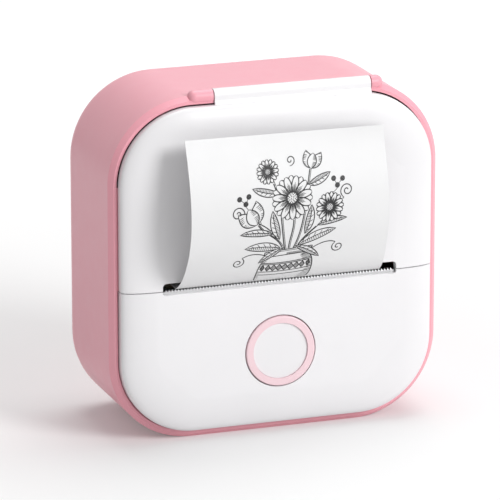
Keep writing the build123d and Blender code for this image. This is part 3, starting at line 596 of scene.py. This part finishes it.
class PaperFace:
    # turns a place in the drawing into one just off the front of the paper

    def __init__(self, s):
        self.s = s
        self.tree = BVHTree.FromObject(nodes["paper_tongue"], bpy.context.evaluated_depsgraph_get())
        low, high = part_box("paper_tongue")
        self.left = low.x / mm + s["edgeInset"]
        self.right = high.x / mm - s["edgeInset"]
        self.edges = [self.measure(self.left), self.measure(self.right)]

    def hit(self, x, z):
        start = Vector((x, -self.s["probe"], z)) * mm
        return self.tree.ray_cast(start, Vector((0, 1, 0)))

    def measure(self, x):
        # length along the paper against height, up one edge
        table = []
        length = 0.0
        last = None
        z = self.s["start"]
        while z < self.s["end"]:
            place = self.hit(x, z)[0]
            if place is not None:
                if last is not None:
                    length += (place - last).length / mm
                table.append((length, z))
                last = place
            z += self.s["heightStep"]
        return table

    def height(self, table, along):
        for (lengthA, zA), (lengthB, zB) in zip(table, table[1:]):
            if lengthA <= along <= lengthB:
                return zA + (zB - zA) * (along - lengthA) / (lengthB - lengthA)
        return None

    def place(self, across, along):
        x = self.s["middle"] + across * self.s["scale"]
        along = along * self.s["scale"]
        left, right = (self.height(table, along) for table in self.edges)
        if left is None or right is None or not self.left < x < self.right:
            return None
        z = left + (right - left) * (x - self.left) / (self.right - self.left)
        point, normal = self.hit(x, z)[:2]
        if point is None:
            return None
        if normal.y > 0:
            normal = -normal
        return point + normal * self.s["lift"] * mm


def alongBezier(a, b, c, d, count=20):
    points = []
    for k in range(count + 1):
        t = k / count
        weights = ((1 - t) ** 3, 3 * t * (1 - t) ** 2, 3 * t * t * (1 - t), t ** 3)
        points.append(tuple(sum(w * p[axis] for w, p in zip(weights, (a, b, c, d))) for axis in (0, 1)))
    return points


def alongArc(middle, radius, start, end, count=24):
    points = []
    for k in range(count + 1):
        turn = math.radians(start + (end - start) * k / count)
        points.append((middle[0] + radius * math.cos(turn), middle[1] + radius * math.sin(turn)))
    return points


curlSettings = {"pointsPerTurn": 26, "closing": 0.86}


def alongCurl(middle, radius, start, turns, sense, s):
    count = int(s["pointsPerTurn"] * turns)
    points = []
    for k in range(count + 1):
        share = k / count
        turn = math.radians(start) + sense * share * turns * 2 * math.pi
        reach = radius * (1 - s["closing"] * share)
        points.append((middle[0] + reach * math.cos(turn), middle[1] + reach * math.sin(turn)))
    return points


def partWay(a, b, share):
    return (a[0] + (b[0] - a[0]) * share, a[1] + (b[1] - a[1]) * share)


def turned(points, angle, middle):
    c, s = math.cos(math.radians(angle)), math.sin(math.radians(angle))
    return [(middle[0] + c * x - s * y, middle[1] + s * x + c * y) for x, y in points]


def insideOutline(point, outline):
    x, y = point
    inside = False
    for (ax, ay), (bx, by) in zip(outline, outline[1:] + outline[:1]):
        if (ay > y) != (by > y) and x < (bx - ax) * (y - ay) / (by - ay) + ax:
            inside = not inside
    return inside


class Drawing:
    # nearer things are drawn first, and each hides what is drawn behind it later

    def __init__(self, s):
        self.s = s
        self.strokes = []
        self.masks = []

    def hide(self, outline):
        xs = [p[0] for p in outline]
        ys = [p[1] for p in outline]
        self.masks.append((min(xs), max(xs), min(ys), max(ys), outline))

    def hidden(self, point):
        x, y = point
        for left, right, low, high, outline in self.masks:
            if left < x < right and low < y < high and insideOutline(point, outline):
                return True
        return False

    def stroke(self, points, width=None, taper=(0.35, 0.35)):
        # a pen line that thins towards its ends and breaks where something nearer hides it
        width = width or self.s["line"]
        fine = []
        for a, b in zip(points, points[1:]):
            pieces = max(1, math.ceil(math.dist(a, b) / self.s["step"]))
            fine += [partWay(a, b, k / pieces) for k in range(pieces)]
        fine.append(points[-1])
        run = []
        last = len(fine) - 1
        for k, point in enumerate(fine):
            if self.hidden(point):
                self.keep(run)
                run = []
                continue
            share = k / last if last else 0.5
            thin = min(1.0, taper[0] + 4 * share, taper[1] + 4 * (1 - share))
            run.append((point, width * thin))
        self.keep(run)

    def keep(self, run):
        if len(run) > 1:
            self.strokes.append(run)

    def hatch(self, first, second, count, start=0.0, end=1.0, reach=(0.0, 1.0)):
        # fine lines from one line across to another
        for k in range(count):
            share = start + (end - start) * k / max(1, count - 1)
            a = first[min(len(first) - 1, round(share * (len(first) - 1)))]
            b = second[min(len(second) - 1, round(share * (len(second) - 1)))]
            self.stroke([partWay(a, b, far) for far in reach], self.s["fineLine"], (1.0, 0.3))


leafSettings = {
    "bellyStart": 0.25,
    "bellyEnd": 0.70,
    "ribLine": 0.8,
    "hatches": 20,
    "hatchSpan": (0.06, 0.94),
    "hatchReach": (0.0, 0.92),
    "veins": range(3, 18, 3),
    "veinSlant": 2,
    "veinReach": 0.8,
}


def drawLeaf(art, base, tip, belly, shadeSide, s):
    # belly is how far the leaf bulges to each side of its middle rib
    length = math.dist(base, tip)
    nx, ny = (base[1] - tip[1]) / length, (tip[0] - base[0]) / length

    def side(amount):
        nearBase, nearTip = partWay(base, tip, s["bellyStart"]), partWay(base, tip, s["bellyEnd"])
        b = (nearBase[0] + nx * amount, nearBase[1] + ny * amount)
        c = (nearTip[0] + nx * amount, nearTip[1] + ny * amount)
        return alongBezier(base, b, c, tip)

    upper, lower = side(belly[0]), side(belly[1])
    rib = side((belly[0] + belly[1]) / 2)
    art.stroke(upper)
    art.stroke(lower)
    art.stroke(rib, art.s["line"] * s["ribLine"], (1.0, 0.2))
    dark, light = (upper, lower) if shadeSide > 0 else (lower, upper)
    art.hatch(rib, dark, s["hatches"], *s["hatchSpan"], s["hatchReach"])
    for k in s["veins"]:
        vein = [rib[k], partWay(rib[k], light[k + s["veinSlant"]], s["veinReach"])]
        art.stroke(vein, art.s["fineLine"], (1.0, 0.2))
    art.hide(upper + lower[::-1])


petalSettings = {
    "narrow": 0.35,
    "wide": 1.25,
    "wideAt": 0.45,
    "round": 0.85,
    "creases": (-0.5, -0.25, 0.0, 0.25, 0.5),
    "creaseReach": 0.62,
}


def drawPetal(art, middle, angle, inner, outer, wide, s):
    reach = outer - inner
    shoulder = (inner + reach * s["wideAt"], -wide * s["wide"])
    left = [(inner, -wide * s["narrow"]), shoulder, (outer, -wide * s["round"]), (outer, 0)]
    right = [(x, -y) for x, y in left]
    lower = turned(alongBezier(*left, count=12), angle, middle)
    upper = turned(alongBezier(*right, count=12), angle, middle)
    art.stroke(lower)
    art.stroke(upper)
    for offset in s["creases"]:
        far = inner + reach * (s["creaseReach"] - 0.5 * abs(offset))
        line = [(inner, wide * offset * 0.5), (far, wide * offset * 1.2)]
        art.stroke(turned(line, angle, middle), art.s["fineLine"], (1.0, 0.2))
    art.hide(lower + upper[::-1])


daisySettings = {
    "heart": 0.27,
    "petal": 0.19,
    "backReach": 1.02,
    "rings": (0.25, 0.55, 0.8),
    "dots": 16,
    "dotTurn": 30,
    "dotSpan": 170,
    "dotLine": 0.9,
}


def drawDaisy(art, middle, radius, petals, phase, s):
    heart = radius * s["heart"]
    wide = radius * s["petal"]
    outline = alongArc(middle, heart, 0, 360)
    art.stroke(outline, taper=(1, 1))
    for ring in s["rings"]:
        dots = max(4, int(s["dots"] * ring))
        for k in range(dots):
            turn = 360 * k / dots + s["dotTurn"] * ring
            dot = alongArc(middle, heart * ring, turn, turn + s["dotSpan"] / dots)
            art.stroke(dot, art.s["line"] * s["dotLine"], (1, 1))
    art.hide(outline)
    for offset, reach in ((0, radius), (0.5, radius * s["backReach"])):
        for k in range(petals):
            drawPetal(art, middle, phase + 360 * (k + offset) / petals, heart, reach, wide, petalSettings)


# outlines of one half of a tulip, in heads across and heads up from its foot
tulipSettings = {
    "front": [(0, 0), (-0.62, 0.28), (-0.5, 0.95), (0, 1.25)],
    "outer": [(0, 0), (1.0, 0.12), (0.95, 0.85), (0.72, 1.42)],
    "inner": [(0.05, 0.95), (0.2, 1.15), (0.5, 1.2), (0.72, 1.42)],
    "frontShade": (9, 0.12, 0.8, (0.0, 0.42)),
    "sideShade": (10, 0.1, 0.9, (0.0, 0.6)),
}


def drawTulip(art, foot, angle, size, s):
    # three petals that stand up from the foot

    def local(corners, sense):
        line = alongBezier(*[(x * sense, y) for x, y in corners], count=14)
        return turned([(y * size, -x * size) for x, y in line], angle, foot)

    frontLeft = local(s["front"], 1)
    frontRight = local(s["front"], -1)
    art.stroke(frontLeft)
    art.stroke(frontRight)
    art.hatch(frontRight, frontLeft, *s["frontShade"])
    art.hide(frontLeft + frontRight[::-1])
    for sense, nearer in ((-1, frontLeft), (1, frontRight)):
        outerLine = local(s["outer"], sense)
        innerLine = local(s["inner"], sense)
        art.stroke(outerLine)
        art.stroke(innerLine)
        art.hatch(outerLine, nearer, *s["sideShade"])
        art.hide(outerLine + innerLine[::-1])


potSettings = {
    "half": 8.6,
    "bottom": -1.0,
    "rimHalf": 7.0,
    "rimHigh": 13.2,
    "rimLow": 11.2,
    "rimLip": 0.5,
    "rimHatches": 24,
    "rimDark": 10,               # of them, the long ones at the shaded end
    "neck": 5.6,
    "bands": (0.30, 0.36, 0.62, 0.68),
    "bandSag": 1.1,
    "diamonds": 9,
    "diamondSpan": (0.36, 0.62),
    "diamondHalf": 0.9,
    "diamondSag": 0.8,
    "diamondGap": 0.3,
    "slants": (0.25, 0.5, 0.75),
    "sideHatches": 34,
    "fine": 0.17,
}


def drawDiamonds(art, s, rightSide):
    high, low = (rightSide[round(share * 20)] for share in s["diamondSpan"])
    gap = s["diamondGap"]
    for k in range(s["diamonds"]):
        share = (k + 0.5) / s["diamonds"] * 2 - 1
        x = share * (low[0] + high[0]) / 2 * 0.97
        sag = s["diamondSag"] * (1 - share * share)
        top, foot = high[1] - sag, low[1] - sag
        middle = (top + foot) / 2
        wide = s["diamondHalf"] * math.sqrt(1 - share * share * 0.8)
        diamond = [(x, top - gap), (x + wide, middle), (x, foot + gap), (x - wide, middle), (x, top - gap)]
        art.stroke(diamond, taper=(1, 1))
        for slant in s["slants"]:
            a = (x - wide * (1 - slant), middle - (middle - foot - gap) * slant)
            b = (x + wide * slant, middle + (top - gap - middle) * (1 - slant))
            art.stroke([a, b], s["fine"], (1, 1))


def drawPot(art, s):
    half, rimHalf, rimHigh, rimLow, fine = s["half"], s["rimHalf"], s["rimHigh"], s["rimLow"], s["fine"]
    corners = ((-s["neck"], rimLow), (-half * 0.95, rimLow - 1.2), (-half, 5.0), (-half * 0.86, s["bottom"]))
    leftSide = alongBezier(*corners)
    rightSide = [(-x, y) for x, y in leftSide]
    art.stroke(leftSide, taper=(1, 1))
    art.stroke(rightSide, taper=(1, 1))
    rim = [(-rimHalf, rimLow), (-rimHalf, rimHigh), (rimHalf, rimHigh), (rimHalf, rimLow), (-rimHalf, rimLow)]
    art.stroke(rim, taper=(1, 1))
    lip = rimHigh - s["rimLip"]
    art.stroke([(-rimHalf, lip), (rimHalf, lip)], fine, (1, 1))
    for k in range(s["rimHatches"]):
        x = rimHalf * (1 - 0.045 * k)
        deep = 0.9 if k < s["rimDark"] else 0.45
        art.stroke([(x, rimLow), (x, rimLow + (rimHigh - rimLow) * deep)], fine, (1, 0.4))
    for share in s["bands"]:
        x, y = rightSide[round(share * 20)]
        sagged = y - s["bandSag"]
        art.stroke(alongBezier((-x, y), (-x * 0.5, sagged), (x * 0.5, sagged), (x, y)), taper=(1, 1))
    drawDiamonds(art, s, rightSide)
    for k in range(s["sideHatches"]):
        share = k / (s["sideHatches"] - 1)
        x, y = rightSide[round(share * 20)]
        art.stroke([(x, y), (x * (0.72 - 0.1 * math.sin(9 * share)), y - 0.7)], fine, (1, 0.2))
        if k % 2:
            art.stroke([(-x, y), (-x * 0.86, y - 0.4)], fine, (1, 0.2))
    art.hide(leftSide + rightSide[::-1] + rim[:-1])


# where each thing in the drawing is
bouquetSettings = {
    # middle, radius, petals, turn
    "daisies": (((0.4, 28.4), 6.0, 11, 8.0), ((11.6, 24.0), 4.1, 9, 20.0), ((-6.4, 36.6), 3.3, 8, 0.0)),
    # foot, direction, size
    "tulips": (((-10.4, 22.6), 118.0, 4.3), ((6.6, 35.4), 74.0, 3.3)),
    # base, tip, bulge to each side, shaded side
    "leaves": (
        ((2.4, 14.0), (13.6, 17.6), (2.6, -0.9), -1),
        ((-2.6, 14.0), (-13.4, 15.6), (1.2, -2.6), 1),
        ((4.2, 17.5), (6.2, 25.6), (1.0, -2.2), 1),
        ((-3.2, 17.0), (-5.6, 25.8), (2.3, -0.9), -1),
        ((-5.4, 19.0), (-15.2, 20.4), (0.7, -2.0), 1),
        ((7.8, 19.4), (16.8, 20.2), (1.8, -0.6), -1),
        ((-3.4, 30.2), (-11.4, 32.8), (2.0, -0.8), -1),
        ((5.4, 31.2), (12.4, 33.6), (1.0, -2.0), 1),
        ((-1.6, 14.0), (-8.4, 9.4), (0.8, -1.9), 1),
        ((1.8, 14.0), (9.6, 8.8), (1.9, -0.7), -1),
    ),
    "stems": (
        ((0.0, 12.0), (-0.8, 17.0), (1.4, 20.0), (0.5, 24.0)),
        ((1.6, 12.0), (3.4, 18.0), (8.0, 18.5), (10.6, 22.0)),
        ((-1.6, 12.0), (-2.6, 18.0), (-7.0, 18.0), (-10.2, 22.8)),
        ((-0.8, 12.0), (-3.6, 20.0), (-2.6, 29.0), (-6.0, 35.6)),
        ((0.8, 12.0), (3.8, 20.0), (4.6, 30.0), (6.4, 35.6)),
    ),
    "stemWide": 0.42,
    # middle, radius, start, turns, sense
    "curls": (
        ((-16.0, 26.6), 2.2, -60, 1.6, 1),
        ((17.0, 27.8), 2.1, 240, 1.6, -1),
        ((-14.6, 10.6), 1.9, 60, 1.5, -1),
        ((14.8, 11.4), 1.9, 120, 1.5, 1),
        ((0.6, 38.6), 1.5, -100, 1.3, 1),
    ),
    "tendrils": (
        ((-6.0, 20.0), (-11.0, 25.0), (-13.0, 23.0), (-14.9, 24.7)),
        ((9.0, 20.5), (14.0, 23.6), (14.6, 25.0), (15.95, 25.98)),
        ((-6.8, 12.0), (-10.0, 13.8), (-12.6, 13.2), (-13.65, 12.25)),
        ((6.8, 12.0), (9.6, 14.2), (12.8, 14.0), (13.85, 13.05)),
    ),
    "berries": ((-13.6, 29.0), (-15.4, 30.6), (-12.6, 30.9), (14.2, 29.6), (15.9, 31.2), (13.2, 31.6)),
    "berryRings": (0.62, 0.4, 0.18),
    "berryTwigs": ((0, 1), (0, 2), (3, 4), (3, 5)),
    "berryStems": (
        ((-9.0, 22.8), (-11.0, 26.0), (-12.6, 26.6), (-13.6, 28.4)),
        ((12.0, 27.4), (13.0, 28.0), (13.8, 28.4), (14.2, 29.0)),
    ),
}


def drawBouquet(ink, s):
    art = Drawing(ink)
    for daisy in s["daisies"]:
        drawDaisy(art, *daisy, daisySettings)
    for tulip in s["tulips"]:
        drawTulip(art, *tulip, tulipSettings)
    for leaf in s["leaves"]:
        drawLeaf(art, *leaf, leafSettings)
    drawPot(art, potSettings)
    for stem in s["stems"]:
        line = alongBezier(*stem)
        art.stroke(line, ink["line"] * 1.1, (1, 1))
        art.stroke([(x + s["stemWide"], y) for x, y in line], ink["fineLine"], (1, 1))
    for curl in s["curls"]:
        art.stroke(alongCurl(*curl, curlSettings), taper=(0.6, 1.0))
    for tendril in s["tendrils"]:
        art.stroke(alongBezier(*tendril), taper=(1.0, 0.8))
    for berry in s["berries"]:
        for radius in s["berryRings"]:
            art.stroke(alongArc(berry, radius, 0, 360, count=14), ink["line"] * 0.9, (1, 1))
    for a, b in s["berryTwigs"]:
        art.stroke([s["berries"][a], s["berries"][b]], ink["fineLine"], (1, 1))
    for stem in s["berryStems"]:
        art.stroke(alongBezier(*stem), ink["fineLine"], (1, 1))
    return art.strokes


def printPicture(s):
    paper = PaperFace(s)
    points = []
    faces = []
    for stroke in drawBouquet(s, bouquetSettings):
        pair = None
        for k, ((x, y), width) in enumerate(stroke):
            before, after = stroke[max(0, k - 1)][0], stroke[min(len(stroke) - 1, k + 1)][0]
            dx, dy = after[0] - before[0], after[1] - before[1]
            length = math.hypot(dx, dy) or 1.0
            nx, ny = -dy / length * width / 2, dx / length * width / 2
            left, right = paper.place(x + nx, y + ny), paper.place(x - nx, y - ny)
            if left is None or right is None:
                pair = None
                continue
            points += [left, right]
            here = (len(points) - 2, len(points) - 1)
            if pair:
                faces.append((pair[0], pair[1], here[1], here[0]))
            pair = here
    mesh = bpy.data.meshes.new(s["name"])
    mesh.from_pydata(points, [], faces)
    mesh.validate()
    picture = bpy.data.objects.new(s["name"], mesh)
    scene.collection.objects.link(picture)
    material, tree, shader = newMaterial("thermalInk")
    speckle = cloudy(tree, objectPlace(tree), s["speckle"], 2.0)
    fresh = between(tree, speckle, 0, 1)
    paintBetween(tree, shader, fresh, s["colour"], toned(s["colour"], s["fadeShare"]))
    roughen(tree, shader, speckle, s["rough"] - 0.05, s["rough"] + 0.1)
    mesh.materials.append(material)
    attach(picture, "cover")
    print("printer: picture with", len(faces), "faces")


printPicture(inkSettings)
